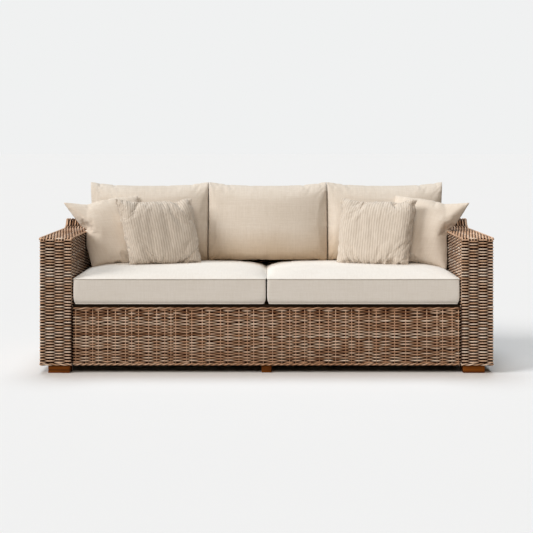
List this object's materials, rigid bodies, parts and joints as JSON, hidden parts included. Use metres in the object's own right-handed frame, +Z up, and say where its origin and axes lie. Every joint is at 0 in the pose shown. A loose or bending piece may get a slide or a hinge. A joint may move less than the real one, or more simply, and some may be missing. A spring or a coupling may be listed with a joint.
{
  "type": "rattan garden sofa",
  "caption": "Low outdoor sofa with level woven cane arms that sweep up to the back, boxed seat cushions, loose back cushions and throw pillows on short wooden feet.",
  "frame": {"origin": "on the floor, under the middle of the sofa", "axes": "+X to the right as seen from the front, +Y to the back, +Z up; the sofa faces -Y"},
  "size_m": [2.2, 0.9, 0.9063],
  "materials": {
    "cane": "woven brown cane with light and dark strands",
    "timber": "sawn timber",
    "foot_wood": "reddish stain, satin",
    "bolt_steel": "zinc plated",
    "seat_fabric": "cream canvas",
    "back_fabric": "beige linen",
    "plain_fabric": "pale oatmeal linen",
    "striped_fabric": "fine taupe and cream rib"
  },
  "bodies": {
    "sofa_frame": {"foot_front_left": "foot_wood", "foot_front_centre": "foot_wood", "foot_front_right": "foot_wood", "foot_rear_left": "foot_wood", "foot_rear_centre": "foot_wood", "foot_rear_right": "foot_wood", "foot_bolt_front_left": "bolt_steel", "foot_bolt_front_centre": "bolt_steel", "foot_bolt_front_right": "bolt_steel", "foot_bolt_rear_left": "bolt_steel", "foot_bolt_rear_centre": "bolt_steel", "foot_bolt_rear_right": "bolt_steel", "front_lower_rail": "timber", "rear_lower_rail": "timber", "front_seat_rail": "timber", "rear_seat_rail": "timber", "back_top_rail": "timber", "seat_centre_bearer": "timber", "left_back_upright": "timber", "left_outer_front_post": "timber", "left_inner_front_post": "timber", "left_outer_rear_post": "timber", "left_inner_rear_post": "timber", "left_outer_arm_rail": "timber", "left_inner_arm_rail": "timber", "left_outer_lower_rail": "timber", "left_inner_seat_rail": "timber", "right_back_upright": "timber", "right_outer_front_post": "timber", "right_inner_front_post": "timber", "right_outer_rear_post": "timber", "right_inner_rear_post": "timber", "right_outer_arm_rail": "timber", "right_inner_arm_rail": "timber", "right_outer_lower_rail": "timber", "right_inner_seat_rail": "timber", "seat_slat_1": "timber", "seat_slat_2": "timber", "seat_slat_3": "timber", "seat_slat_4": "timber", "seat_slat_5": "timber", "seat_slat_6": "timber", "seat_slat_7": "timber", "seat_slat_8": "timber", "left_arm_weave": "cane", "left_arm_top_weave": "cane", "right_arm_weave": "cane", "right_arm_top_weave": "cane", "front_skirt_weave": "cane", "back_weave": "cane"},
    "seat_left": {"left_seat_cushion": "seat_fabric"},
    "seat_right": {"right_seat_cushion": "seat_fabric"},
    "back_left": {"left_back_cushion": "back_fabric"},
    "back_centre": {"centre_back_cushion": "back_fabric"},
    "back_right": {"right_back_cushion": "back_fabric"},
    "pillow_left_plain": {"left_plain_pillow": "plain_fabric"},
    "pillow_left_striped": {"left_striped_pillow": "striped_fabric"},
    "pillow_right_plain": {"right_plain_pillow": "plain_fabric"},
    "pillow_right_striped": {"right_striped_pillow": "striped_fabric"}
  },
  "joints": [
    {"name": "seat_left_pull", "type": "slide", "parent": "sofa_frame", "child": "seat_left", "axis": [0, -1, 0], "range_m": [0, 0.85]},
    {"name": "seat_right_pull", "type": "slide", "parent": "sofa_frame", "child": "seat_right", "axis": [0, -1, 0], "range_m": [0, 0.85]},
    {"name": "back_left_lift", "type": "slide", "parent": "sofa_frame", "child": "back_left", "axis": [0, 0, 1], "range_m": [0, 0.45]},
    {"name": "back_centre_lift", "type": "slide", "parent": "sofa_frame", "child": "back_centre", "axis": [0, 0, 1], "range_m": [0, 0.45]},
    {"name": "back_right_lift", "type": "slide", "parent": "sofa_frame", "child": "back_right", "axis": [0, 0, 1], "range_m": [0, 0.45]},
    {"name": "pillow_left_plain_lift", "type": "slide", "parent": "back_left", "child": "pillow_left_plain", "axis": [0, 0, 1], "range_m": [0, 0.45]},
    {"name": "pillow_left_striped_lift", "type": "slide", "parent": "pillow_left_plain", "child": "pillow_left_striped", "axis": [0, 0, 1], "range_m": [0, 0.45]},
    {"name": "pillow_right_plain_lift", "type": "slide", "parent": "back_right", "child": "pillow_right_plain", "axis": [0, 0, 1], "range_m": [0, 0.45]},
    {"name": "pillow_right_striped_lift", "type": "slide", "parent": "pillow_right_plain", "child": "pillow_right_striped", "axis": [0, 0, 1], "range_m": [0, 0.45]}
  ]
}
